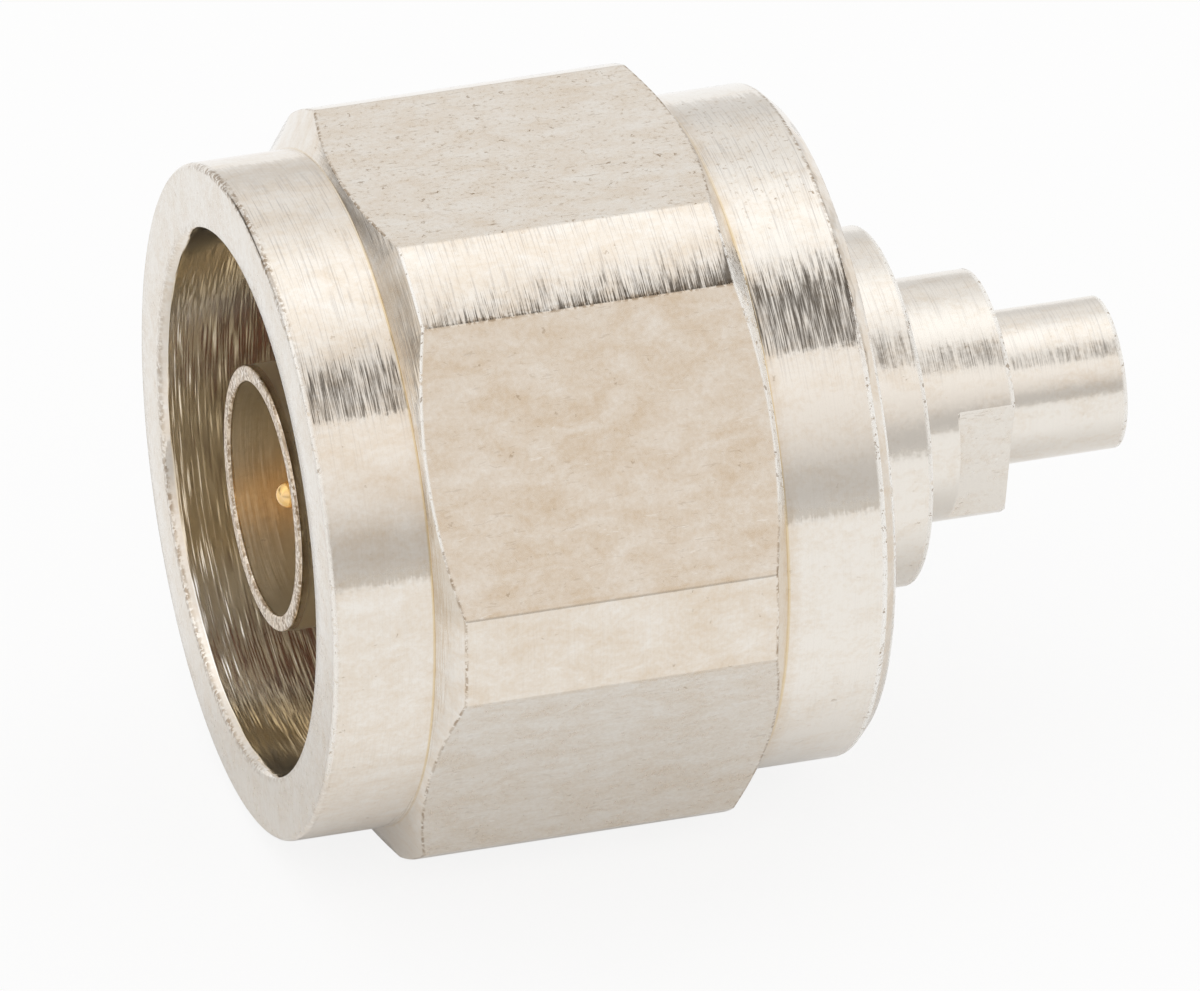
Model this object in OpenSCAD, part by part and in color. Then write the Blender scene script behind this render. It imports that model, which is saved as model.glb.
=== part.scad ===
// N plug for semi-rigid cable: a floating hex coupling nut on a turned shell, with a solder sleeve behind.
// The axis runs along +X towards the cable, and the origin is the centre of the outer contact's front edge.

/* [Mating end] */
// Outside diameter of the outer contact
contact_tube_d = 7.94; // [7.7:0.02:8.2]
// Bore of the outer contact
contact_tube_bore = 6.98; // [6.7:0.02:7.1]
// Distance from the outer contact's front edge back to the gasket's face
gasket_setback = 9.1; // [8.7:0.05:9.5]
// Diameter of the centre pin
pin_d = 1.65; // [1.5:0.01:1.8]
// Diameter of the rounded nose of the centre pin
pin_nose_d = 0.8; // [0.6:0.05:1.1]
// Length over which the centre pin tapers from its nose to its full diameter
pin_taper_l = 1.1; // [0.8:0.1:2]
// Distance from the outer contact's front edge back to the tip of the centre pin
pin_setback = 0.47; // [0.2:0.01:1]
// Distance from the outer contact's front edge back to the centre pin's shoulder
shoulder_setback = 5.3; // [4.8:0.05:5.8]
// Diameter of the centre pin's shoulder
shoulder_d = 3.04; // [2.8:0.02:3.3]
// Length of the centre pin's shoulder, which stands clear in front of the insulator
shoulder_l = 1; // [0.6:0.1:1.4]

/* [Coupling nut] */
// How far the nut's front face stands ahead of the outer contact
nut_lead = 0.76; // [0.3:0.02:1.2]
// Length of the nut
nut_l = 17.34; // [16.8:0.02:18]
// Width of the nut across its flats
hex_af = 20.64; // [20.5:0.02:21]
// Diameter to which the corners of the hexagon are turned
corner_d = 22.37; // [21.8:0.01:23]
// Angle between the chamfer on the corners and the nut's end faces
corner_chamfer_angle = 30; // [20:1:45]
// Diameter of the plain collar in front of the hexagon
front_collar_d = 20.2; // [19.4:0.02:20.4]
// Length of the plain collar in front of the hexagon
front_collar_l = 3.07; // [2.5:0.01:3.6]
// Diameter of the plain collar behind the hexagon
rear_collar_d = 20.14; // [19.4:0.02:20.4]
// Length of the plain collar behind the hexagon
rear_collar_l = 3.44; // [2.8:0.01:4]
// Chamfer on the rear edge of the nut
rear_chamfer = 0.44; // [0.2:0.02:0.7]
// Edge break on the front edge of the nut
front_edge = 0.1; // [0.05:0.01:0.3]
// Diameter of the plain lead-in bore in the nut's mouth
mouth_d = 16.14; // [16:0.02:16.6]
// Depth of the plain lead-in bore
mouth_l = 4.2; // [3.6:0.1:4.8]
// Depth of the chamfer in the nut's mouth
mouth_chamfer_l = 0.25; // [0.1:0.01:0.4]
// Radial width of the chamfer in the nut's mouth
mouth_chamfer_w = 0.13; // [0.05:0.01:0.3]
// Diameter of the threaded bore over the crests of its thread
thread_crest_d = 14.8; // [14.7:0.02:15]
// Diameter of the run-out groove behind the thread
runout_d = 16; // [15.8:0.05:16.4]
// Width of the run-out groove in front of the nut's web
runout_l = 3; // [2.6:0.1:3.6]

/* [Retaining ring] */
// Width of the ring along the axis
ring_w = 1; // [0.8:0.05:1.2]
// Radial thickness of the ring
ring_t = 1.1; // [1:0.02:1.2]
// How far the ring reaches into the nut
ring_reach = 0.55; // [0.45:0.01:0.65]
// Width of the slit in the ring
ring_slit = 1.6; // [1.2:0.1:2.4]
// How far the nut can move each way along the shell
nut_float = 0.15; // [0.1:0.01:0.25]

/* [Gasket] */
// Thickness of the gasket
gasket_t = 1.4; // [1.1:0.05:1.6]

/* [Shell] */
// Diameter of the hub that centres the gasket
hub_d = 8.6; // [8.4:0.05:9]
// Thickness of the flange
flange_l = 2.5; // [2.3:0.05:2.7]
// Diameter of the neck on which the nut turns
neck_d = 10.8; // [10.6:0.02:11.2]
// Length of the neck
neck_l = 6.07; // [5.8:0.01:6.4]
// Diameter of the screw thread that holds the cable sleeve
sleeve_thread_d = 8; // [7.8:0.05:8.2]

/* [Insulator] */
// Diameter of the insulator behind its step
insulator_d = 7.4; // [7.2:0.02:7.6]
// Distance from the outer contact's front edge back to the insulator's step
insulator_step = 10.9; // [10.5:0.05:11.4]
// Distance from the outer contact's front edge back to the insulator's rear face
insulator_end = 13.6; // [13.2:0.05:14]
// Diameter of the centre contact inside the insulator
stem_d = 2.1; // [1.9:0.02:2.4]
// How far the centre contact stands out behind the insulator
stem_out = 2; // [1.6:0.1:2.2]
// Depth of the solder hole for the cable's inner conductor
solder_hole_l = 3.5; // [3:0.1:4.5]
// Diameter of the cable's inner conductor
conductor_d = 0.92; // [0.85:0.01:0.98]
// Diameter of the small side hole through which solder is seen
sight_hole_d = 0.6; // [0.4:0.05:0.7]

/* [Cable sleeve] */
// Outside diameter of the cable
cable_d = 3.58; // [3.45:0.01:3.6]
// Diameter of the barrel
barrel_d = 7.3; // [7:0.02:7.4]
// How far the barrel stands out behind the shell
barrel_out = 3.15; // [2.8:0.01:3.6]
// Width across the two wrench flats on the barrel
flat_af = 5.98; // [5.6:0.02:6.4]
// Length of the wrench flats
flat_l = 1.76; // [1.4:0.02:2.2]
// Angle of the wrench flats below the horizontal
flat_turn = 13; // [0:1:60]
// Outside diameter of the solder tube
tube_d = 4.57; // [4.4:0.01:4.8]
// Length of the solder tube behind the barrel
tube_l = 3.86; // [3.4:0.01:4.4]
// Length of the sleeve's screw thread
sleeve_thread_l = 2.8; // [2.4:0.1:2.9]
// How deep the end of the sleeve's screw thread sits inside the shell's rear face
sleeve_sink = 0.45; // [0.3:0.05:0.6]
// Diameter of the hollow around the solder joint
hollow_d = 4.8; // [4.4:0.05:5.2]
// Distance from the front of the sleeve to the end of the cable's jacket
hollow_l = 2.4; // [2.3:0.05:2.6]

/* [Fits] */
// Radial clearance between the nut and the neck it turns on
running_fit = 0.05; // [0.03:0.01:0.08]
// Clearance around a piece that slips into place
slip_fit = 0.03; // [0.02:0.01:0.05]
// Radial room between the gasket and the crests of the nut's thread
gasket_room = 0.6; // [0.3:0.05:0.9]
// Radial room between the shell's flange and the crests of the nut's thread
flange_room = 0.2; // [0.1:0.02:0.3]
// Edge break on the smaller turned edges
edge = 0.08; // [0.04:0.01:0.12]

/* [Hidden] */
round_steps = 120;
over = 1;

// Stations along the axis, counted from the outer contact's front edge.
nut_front = -nut_lead;
nut_end = nut_front + nut_l;
hex_front = nut_front + front_collar_l;
hex_end = nut_end - rear_collar_l;
flange_front = gasket_setback + gasket_t;
flange_end = flange_front + flange_l;
web_front = flange_end + nut_float + slip_fit;
runout_front = web_front - runout_l;
shell_end = flange_end + neck_l;
ring_mid = (web_front + nut_end) / 2;
insulator_front = shoulder_setback + shoulder_l;
stem_end = insulator_end + stem_out;
sleeve_thread_end = shell_end - sleeve_sink;
sleeve_thread_front = sleeve_thread_end - sleeve_thread_l;
tapped_front = sleeve_thread_front - slip_fit;
jacket_stop = insulator_end + hollow_l;
barrel_end = shell_end + barrel_out;
tube_end = barrel_end + tube_l;

// Radii of the pieces that meet.
neck_r = neck_d / 2;
nut_bore_r = neck_r + running_fit;
ring_r = nut_bore_r + ring_reach;
ring_groove_r = ring_r + slip_fit;
neck_groove_r = nut_bore_r - ring_t - slip_fit;
cable_bore_r = cable_d / 2 + slip_fit;
crest_r = thread_crest_d / 2;
gasket_r = crest_r - gasket_room;
flange_r = crest_r - flange_room;

// A solid turned about the X axis from an outline of [radius, station] points.
module turned(outline) {
    rotate([0, 90, 0])
        rotate_extrude($fn = round_steps)
            polygon(outline);
}

// The space bored out from one station to another.
module bored(r, from, to) {
    translate([from, 0, 0])
        rotate([0, 90, 0])
            cylinder(h = to - from, r = r, $fn = round_steps);
}

// The space of a countersink or an edge break, from one radius to another.
module coned(r1, r2, from, to) {
    translate([from, 0, 0])
        rotate([0, 90, 0])
            cylinder(h = to - from, r1 = r1, r2 = r2, $fn = round_steps);
}

// The bar the nut is turned from: a collar at each end and a chamfered drum for the hexagon between them.
module nut_blank() {
    front_r = front_collar_d / 2;
    rear_r = rear_collar_d / 2;
    corner_r = corner_d / 2;
    front_rise = (corner_r - front_r) * tan(corner_chamfer_angle);
    rear_rise = (corner_r - rear_r) * tan(corner_chamfer_angle);
    turned([
        [0, nut_front],
        [front_r - front_edge, nut_front],
        [front_r, nut_front + front_edge],
        [front_r, hex_front],
        [corner_r, hex_front + front_rise],
        [corner_r, hex_end - rear_rise],
        [rear_r, hex_end],
        [rear_r, nut_end - rear_chamfer],
        [rear_r - rear_chamfer, nut_end],
        [0, nut_end],
    ]);
}

// Six milled flats, one of them facing straight down.
module hex_prism() {
    translate([nut_front - over, 0, 0])
        rotate([0, 90, 0])
            rotate([0, 0, 30])
                cylinder(h = nut_l + 2 * over, d = hex_af / cos(30), $fn = 6);
}

// The nut's bore: mouth, thread, run-out groove, web, and the groove for the ring inside the web.
module nut_bores() {
    mouth_r = mouth_d / 2;
    ring_room = ring_w + 2 * slip_fit;
    coned(mouth_r + mouth_chamfer_w, mouth_r, nut_front, nut_front + mouth_chamfer_l);
    bored(mouth_r, nut_front - over, nut_front + mouth_l);
    bored(crest_r, nut_front, web_front);
    bored(runout_d / 2, runout_front, web_front);
    bored(nut_bore_r, nut_front, nut_end + over);
    bored(ring_groove_r, ring_mid - ring_room / 2, ring_mid + ring_room / 2);
    coned(nut_bore_r, nut_bore_r + edge, nut_end - edge, nut_end);
}

module coupling_nut() {
    color([0.85, 0.81, 0.76])
        difference() {
            intersection() {
                nut_blank();
                hex_prism();
            }
            nut_bores();
        }
}

// A split ring that springs out into the nut's groove and stays half in the neck's groove.
module retaining_ring() {
    color([0.74, 0.58, 0.32])
        difference() {
            bored(ring_r, ring_mid - ring_w / 2, ring_mid + ring_w / 2);
            bored(ring_r - ring_t, ring_mid - ring_w / 2 - over, ring_mid + ring_w / 2 + over);
            translate([ring_mid - ring_w, -ring_slit / 2, 0])
                cube([2 * ring_w, ring_slit, ring_r + over]);
        }
}

module gasket() {
    color([0.72, 0.27, 0.16])
        difference() {
            bored(gasket_r, gasket_setback, flange_front);
            bored(hub_d / 2, gasket_setback - over, flange_front + over);
        }
}

// One turned piece: outer contact, gasket hub, flange, and the neck with its groove.
module shell() {
    tube_r = contact_tube_d / 2;
    bore_r = contact_tube_bore / 2;
    hub_r = hub_d / 2;
    groove_room = ring_w + 2 * (nut_float + slip_fit);
    color([0.84, 0.81, 0.75])
        difference() {
            turned([
                [0, 0],
                [tube_r - edge, 0],
                [tube_r, edge],
                [tube_r, gasket_setback],
                [hub_r, gasket_setback],
                [hub_r, flange_front],
                [flange_r - edge, flange_front],
                [flange_r, flange_front + edge],
                [flange_r, flange_end - edge],
                [flange_r - edge, flange_end],
                [neck_r, flange_end],
                [neck_r, ring_mid - groove_room / 2],
                [neck_groove_r, ring_mid - groove_room / 2],
                [neck_groove_r, ring_mid + groove_room / 2],
                [neck_r, ring_mid + groove_room / 2],
                [neck_r, shell_end - edge],
                [neck_r - edge, shell_end],
                [0, shell_end],
            ]);
            coned(bore_r + edge, bore_r, 0, edge);
            bored(bore_r, -over, insulator_step + over);
            bored(insulator_d / 2, insulator_step, tapped_front + over);
            bored(sleeve_thread_d / 2, tapped_front, shell_end + over);
            coned(sleeve_thread_d / 2, sleeve_thread_d / 2 + edge, shell_end - edge, shell_end);
        }
}

module insulator() {
    color([0.95, 0.94, 0.91])
        difference() {
            union() {
                bored(contact_tube_bore / 2, insulator_front, insulator_step + over);
                bored(insulator_d / 2, insulator_step, insulator_end);
            }
            bored(stem_d / 2, insulator_front - over, insulator_end + over);
        }
}

// The gold pin with its nose and shoulder, and the stem that takes the cable's inner conductor.
module centre_contact() {
    nose_r = pin_nose_d / 2;
    pin_r = pin_d / 2;
    color([0.83, 0.66, 0.30])
        difference() {
            union() {
                translate([pin_setback + nose_r, 0, 0])
                    sphere(r = nose_r, $fn = round_steps);
                turned([
                    [0, pin_setback + nose_r],
                    [nose_r, pin_setback + nose_r],
                    [pin_r, pin_setback + nose_r + pin_taper_l],
                    [pin_r, shoulder_setback],
                    [shoulder_d / 2 - edge, shoulder_setback],
                    [shoulder_d / 2, shoulder_setback + edge],
                    [shoulder_d / 2, insulator_front],
                    [stem_d / 2, insulator_front],
                    [stem_d / 2, stem_end],
                    [0, stem_end],
                ]);
            }
            bored(conductor_d / 2 + slip_fit, stem_end - solder_hole_l, stem_end + over);
            translate([stem_end - stem_out / 2, 0, 0])
                cylinder(h = stem_d, d = sight_hole_d, $fn = round_steps);
        }
}

// The sleeve that is soldered on the cable and screwed into the shell behind the insulator.
module cable_sleeve() {
    nose_r = insulator_d / 2 - slip_fit;
    barrel_r = barrel_d / 2;
    thread_r = sleeve_thread_d / 2;
    tube_r = tube_d / 2;
    color([0.84, 0.81, 0.75])
        difference() {
            turned([
                [0, insulator_end],
                [nose_r, insulator_end],
                [nose_r, sleeve_thread_front],
                [thread_r, sleeve_thread_front],
                [thread_r, sleeve_thread_end],
                [barrel_r, sleeve_thread_end],
                [barrel_r, barrel_end - edge],
                [barrel_r - edge, barrel_end],
                [tube_r, barrel_end],
                [tube_r, tube_end - edge],
                [tube_r - edge, tube_end],
                [0, tube_end],
            ]);
            bored(hollow_d / 2, insulator_end - over, jacket_stop);
            bored(cable_bore_r, insulator_end, tube_end + over);
            coned(cable_bore_r, cable_bore_r + edge, tube_end - edge, tube_end);
            for (side = [-1, 1])
                rotate([flat_turn, 0, 0])
                    translate([barrel_end - flat_l, side * (flat_af + barrel_d) / 2 - barrel_r, -barrel_d])
                        cube([flat_l + over, barrel_d, 2 * barrel_d]);
        }
}

coupling_nut();
retaining_ring();
gasket();
shell();
insulator();
centre_contact();
cable_sleeve();
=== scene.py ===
"""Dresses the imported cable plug: finer turned and milled pieces, plated finishes and a plain studio."""
import math
from contextlib import contextmanager

import bmesh
import bpy
from mathutils import Matrix, Vector


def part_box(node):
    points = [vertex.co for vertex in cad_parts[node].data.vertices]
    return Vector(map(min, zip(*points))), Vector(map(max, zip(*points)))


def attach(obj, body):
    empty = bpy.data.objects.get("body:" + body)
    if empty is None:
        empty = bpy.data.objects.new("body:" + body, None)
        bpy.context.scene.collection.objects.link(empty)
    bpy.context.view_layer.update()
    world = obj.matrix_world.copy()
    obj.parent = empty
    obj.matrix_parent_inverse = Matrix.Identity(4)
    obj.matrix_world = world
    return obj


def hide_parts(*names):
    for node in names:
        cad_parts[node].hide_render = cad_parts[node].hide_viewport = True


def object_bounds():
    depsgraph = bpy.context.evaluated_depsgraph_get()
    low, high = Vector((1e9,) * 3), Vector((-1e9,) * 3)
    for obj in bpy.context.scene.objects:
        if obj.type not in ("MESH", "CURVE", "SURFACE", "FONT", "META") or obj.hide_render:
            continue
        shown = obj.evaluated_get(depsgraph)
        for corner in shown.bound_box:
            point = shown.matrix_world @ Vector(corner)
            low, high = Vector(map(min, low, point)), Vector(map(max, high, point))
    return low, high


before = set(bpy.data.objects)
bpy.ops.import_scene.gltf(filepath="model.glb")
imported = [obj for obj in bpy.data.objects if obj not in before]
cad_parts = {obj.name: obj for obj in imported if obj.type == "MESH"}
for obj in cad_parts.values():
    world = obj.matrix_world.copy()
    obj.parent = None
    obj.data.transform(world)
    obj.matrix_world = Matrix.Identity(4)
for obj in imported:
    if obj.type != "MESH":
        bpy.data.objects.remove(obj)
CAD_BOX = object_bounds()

bl_info = {
    "name": "Cable Plug Dresser",
    "version": (1, 0, 0),
    "blender": (4, 5, 0),
    "location": "View3D > Sidebar > Plug",
    "description": "Models and finishes a hex-nut coaxial plug around its packed frame",
    "category": "Object",
}

MM = 0.001
FULL_TURN = 2 * math.pi
# Distances below which two places are the same, are welded, or touch.
SAME_PLACE = 1e-7
WELD = 1e-6
TOUCH = 0.01 * MM
# How much the radius counts beside the station in the tool marks, so that end faces get rings too.
RADIAL_SHARE = 1.13
# Depth of the bumps on plastic, rubber and wire.
BUMP = 0.004 * MM
NUT_LOW, NUT_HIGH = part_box("coupling_nut")
SHELL_LOW, SHELL_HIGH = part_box("shell")
SLEEVE_LOW, SLEEVE_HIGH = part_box("cable_sleeve")
INSULATOR_LOW, INSULATOR_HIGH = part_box("insulator")
GASKET_LOW, GASKET_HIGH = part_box("gasket")
CONTACT_LOW, CONTACT_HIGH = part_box("centre_contact")


def length(name, millimetres, description):
    """A size that is typed and shown as a length."""
    return bpy.props.FloatProperty(
        name=name, description=description, default=millimetres * MM, precision=5, unit="LENGTH"
    )


def angle(name, degrees, description):
    """An angle that is typed and shown in degrees."""
    return bpy.props.FloatProperty(
        name=name, description=description, default=math.radians(degrees), subtype="ANGLE"
    )


def colour(name, red, green, blue, description):
    """A linear colour with a picker."""
    return bpy.props.FloatVectorProperty(
        name=name, description=description, default=(red, green, blue), subtype="COLOR", min=0, max=1
    )


def count(name, number, description):
    """A whole number."""
    return bpy.props.IntProperty(name=name, description=description, default=number, min=1)


def number(name, value, description):
    """A plain number."""
    return bpy.props.FloatProperty(name=name, description=description, default=value)


class NutSizes(bpy.types.PropertyGroup):
    """Sizes of the coupling nut."""
    collar_radius: length("Front collar radius", 10.10, "Radius of the collar in front of the hexagon")
    collar_length: length("Front collar length", 3.07, "Length of the collar in front of the hexagon")
    corner_radius: length("Corner radius", 11.185, "Radius to which the hexagon's corners are turned")
    corner_angle: angle("Corner chamfer", 30, "Angle between the corner chamfer and the end face")
    rear_radius: length("Rear collar radius", 10.07, "Radius of the plain collar behind the hexagon")
    rear_length: length("Rear collar length", 3.44, "Length of the collar behind the hexagon")
    rear_chamfer: length("Rear chamfer", 0.44, "Chamfer on the nut's rear edge")
    front_edge: length("Front edge break", 0.10, "Edge break on the nut's front edge")
    mouth_radius: length("Mouth radius", 8.07, "Radius of the plain lead-in bore")
    mouth_depth: length("Mouth depth", 4.20, "Depth of the plain lead-in bore")
    mouth_chamfer: length("Mouth chamfer width", 0.13, "Radial width of the chamfer in the mouth")
    mouth_chamfer_depth: length("Mouth chamfer depth", 0.25, "Depth of the chamfer in the mouth")
    crest_radius: length("Thread crest radius", 7.40, "Radius over the crests of the thread")
    major_radius: length("Thread major radius", 7.94, "Radius to the roots of the thread")
    pitch: length("Thread pitch", 1.058, "Distance from one turn of the thread to the next")
    runout_radius: length("Run-out radius", 8.00, "Radius of the groove behind the thread")
    runout_length: length("Run-out length", 3.00, "Length of the groove behind the thread")
    web_length: length("Web length", 3.40, "Thickness of the web that turns on the neck")
    bore_radius: length("Web bore radius", 5.45, "Radius of the bore that turns on the neck")
    groove_radius: length("Ring groove radius", 6.03, "Radius of the groove for the ring")
    groove_width: length("Ring groove width", 1.06, "Width of the groove for the ring")
    flank_angle: angle("Flank angle", 30, "Angle between the thread's flanks and its radius")
    tap_overcut: length("Tap overcut", 0.15, "How far the tap reaches inside the crests")
    tap_lead: number("Tap lead", 0.8, "Turns of the tap in front of the thread")
    tap_tail: number("Tap tail", 0.6, "Turns of the tap past the thread")
    tap_sides: count("Tap sides", 120, "Faces in one turn of the tap")
    burr: length("Burr width", 0.055, "Width of the rounding along the outer edges")
    drum_rings: count("Drum rings", 44, "Rings of faces along the hexagon")
    sides: count("Sides", 360, "Faces around the nut")


class ShellSizes(bpy.types.PropertyGroup):
    """Sizes of the shell with its outer contact."""
    tube_radius: length("Contact radius", 3.97, "Outer radius of the outer contact")
    bore_radius: length("Contact bore radius", 3.49, "Inner radius of the outer contact")
    hub_radius: length("Hub radius", 4.30, "Radius of the hub that centres the gasket")
    flange_radius: length("Flange radius", 7.20, "Radius of the flange behind the gasket")
    flange_length: length("Flange length", 2.50, "Thickness of the flange")
    neck_radius: length("Neck radius", 5.40, "Radius of the neck on which the nut turns")
    groove_radius: length("Groove radius", 4.32, "Radius at the floor of the neck's groove")
    groove_start: length("Groove start", 14.20, "Station where the neck's groove starts")
    groove_end: length("Groove end", 15.56, "Station where the neck's groove ends")
    step: length("Insulator step", 10.90, "Station where the bore widens behind the insulator's step")
    wide_radius: length("Wide bore radius", 3.70, "Radius of the bore around the insulator's rear half")
    tapped_start: length("Tapped start", 15.79, "Station where the tapped bore starts")
    tapped_radius: length("Tapped radius", 4.00, "Radius of the tapped bore")
    edge: length("Edge break", 0.08, "Edge break on the turned edges")
    sides: count("Sides", 288, "Faces around the shell")


class SleeveSizes(bpy.types.PropertyGroup):
    """Sizes of the cable sleeve."""
    nose_radius: length("Nose radius", 3.67, "Radius in front of the sleeve's thread")
    thread_start: length("Thread start", 15.82, "Station where the sleeve's thread starts")
    thread_end: length("Thread end", 18.62, "Station where the sleeve's thread ends")
    thread_radius: length("Thread radius", 4.00, "Radius of the sleeve's thread")
    barrel_radius: length("Barrel radius", 3.65, "Radius of the barrel behind the shell")
    barrel_end: length("Barrel end", 22.22, "Station where the barrel ends")
    tube_radius: length("Tube radius", 2.285, "Outer radius of the solder tube")
    cable_radius: length("Cable bore radius", 1.82, "Radius of the bore for the cable")
    hollow_radius: length("Hollow radius", 2.40, "Radius of the hollow around the solder joint")
    hollow_end: length("Hollow end", 16.00, "Station where the hollow ends")
    flat_width: length("Width across flats", 5.98, "Distance between the two wrench flats")
    flat_length: length("Flat length", 1.76, "Length of the wrench flats")
    flat_turn: angle("Flat turn", 13, "Angle of the wrench flats below the horizontal")
    edge: length("Edge break", 0.08, "Edge break on the tube's end")
    mill_edge: length("Milled edge break", 0.04, "Edge break on the barrel and its flats")
    sides: count("Sides", 240, "Faces around the sleeve")


class CoreSizes(bpy.types.PropertyGroup):
    """Sizes of the centre contact, the insulator and the gasket."""
    nose_radius: length("Nose radius", 0.40, "Radius of the contact's ball nose")
    taper_length: length("Taper length", 1.10, "Length of the taper behind the nose")
    pin_radius: length("Pin radius", 0.825, "Radius of the contact's pin")
    shoulder_start: length("Shoulder start", 5.30, "Station of the contact's shoulder")
    shoulder_radius: length("Shoulder radius", 1.52, "Radius of the contact's shoulder")
    stem_radius: length("Stem radius", 1.05, "Radius of the contact inside the insulator")
    solder_radius: length("Solder hole radius", 0.49, "Radius of the hole for the cable's conductor")
    solder_depth: length("Solder hole depth", 3.50, "Depth of the hole for the cable's conductor")
    sight_radius: length("Sight hole radius", 0.30, "Radius of the side hole into the solder hole")
    sight_inset: length("Sight hole inset", 1.00, "Distance of the side hole from the rear end")
    contact_edge: length("Contact edge break", 0.04, "Edge break on the contact's shoulder")
    insulator_radius: length("Insulator front radius", 3.49, "Radius of the insulator before its step")
    insulator_step: length("Insulator step", 10.90, "Station of the insulator's step")
    insulator_rear_radius: length("Insulator rear radius", 3.70, "Radius of the insulator behind its step")
    insulator_edge: length("Insulator edge break", 0.05, "Edge break on the insulator's outside")
    gasket_outer: length("Gasket outer radius", 6.80, "Outer radius of the gasket")
    gasket_inner: length("Gasket inner radius", 4.30, "Inner radius of the gasket")
    gasket_edge: length("Gasket edge", 0.18, "Rounding of the gasket's moulded edges")
    sides: count("Sides", 192, "Faces around the pieces")


class Finish(bpy.types.PropertyGroup):
    """Colours of the finishes."""
    nickel: colour("Nickel", 0.84, 0.795, 0.73, "Clean nickel plate")
    tan: colour("Tan film", 0.71, 0.59, 0.455, "Nickel plate under a full tan film")
    gilt: colour("Gilt corner", 0.70, 0.54, 0.30, "Golden film in the hexagon's inner corners")
    # Also the painted highlights: white glints on the burrs and lighter stretches in the bore.
    bright: colour("Bright nickel", 0.96, 0.94, 0.90, "Freshly rubbed plate on burrs and edges")
    brown: colour("Brown stain", 0.26, 0.17, 0.09, "Stain in pits and corners")
    bore: colour("Bore", 0.91, 0.82, 0.66, "Dull plate inside the bores")
    # Also painted shade: the worn lines darken most on the upper front of the turned surfaces.
    wear_and_streak_shade: colour("Worn lines", 0.78, 0.78, 0.79, "Multiplies the plate along worn tool marks")
    # Painted shade: multiplies the pair of flats at -30 degrees round the axis and the nut's front end
    # face.
    painted_shade: colour("Grey wear", 0.91, 0.91, 0.91, "Multiplies the plate where it is greyer")
    soot: colour("Tarnish", 0.72, 0.66, 0.58, "Multiplies the plate where it is tarnished")
    gold: colour("Gold", 0.95, 0.62, 0.24, "Gold plate")
    fluoropolymer: colour("Fluoropolymer", 0.90, 0.89, 0.86, "White insulator")
    waxy: colour("Waxy cloud", 0.90, 0.88, 0.84, "Multiplies the insulator's white in places")
    silicone: colour("Silicone", 0.42, 0.12, 0.07, "Red-brown gasket")
    bloom: colour("Bloom", 0.62, 0.30, 0.22, "Dusty bloom on the gasket")
    bronze: colour("Spring bronze", 0.74, 0.52, 0.28, "Retaining ring")


class Studio(bpy.types.PropertyGroup):
    """Camera, floor and light tent."""
    azimuth: angle("Camera azimuth", -16.95, "Camera direction round the plug")
    elevation: angle("Camera elevation", 29.8, "Camera height above the horizon")
    distance: length("Camera distance", 1000, "Distance from the camera to the aim point")
    lens: number("Lens", 1015.5, "Focal length in millimetres")
    aim_x: length("Aim X", 10.366, "Aim point along the axis")
    aim_y: length("Aim Y", -0.209, "Aim point across the axis")
    aim_z: length("Aim Z", -1.502, "Aim point above the axis")
    floor_size: length("Floor size", 6000, "Width of the floor")
    apron: length("Apron distance", 185, "Distance in front of the plug at which the floor greys")
    floor_white: number("Floor white", 0.85, "How much of the floor's look is clean white")
    tent_strength: number("Tent strength", 1.0, "Strength of the light tent")


# Node helpers

class Term:
    """A socket in an expression: each operator adds the Math node that works it out."""

    def __init__(self, graph, socket):
        self.graph = graph
        self.socket = socket

    def __add__(self, other):
        return self.graph.math("ADD", self, other)

    def __sub__(self, other):
        return self.graph.math("SUBTRACT", self, other)

    def __mul__(self, other):
        return self.graph.math("MULTIPLY", self, other)

    def __truediv__(self, other):
        return self.graph.math("DIVIDE", self, other)

    def __rsub__(self, other):
        return self.graph.math("SUBTRACT", other, self)

    def __abs__(self):
        return self.graph.math("ABSOLUTE", self)

    def __neg__(self):
        return self.graph.math("MULTIPLY", self, -1.0)

    __radd__ = __add__
    __rmul__ = __mul__

    def beside(self, output):
        """Another output of the same node."""
        return Term(self.graph, self.socket.node.outputs[output])


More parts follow.
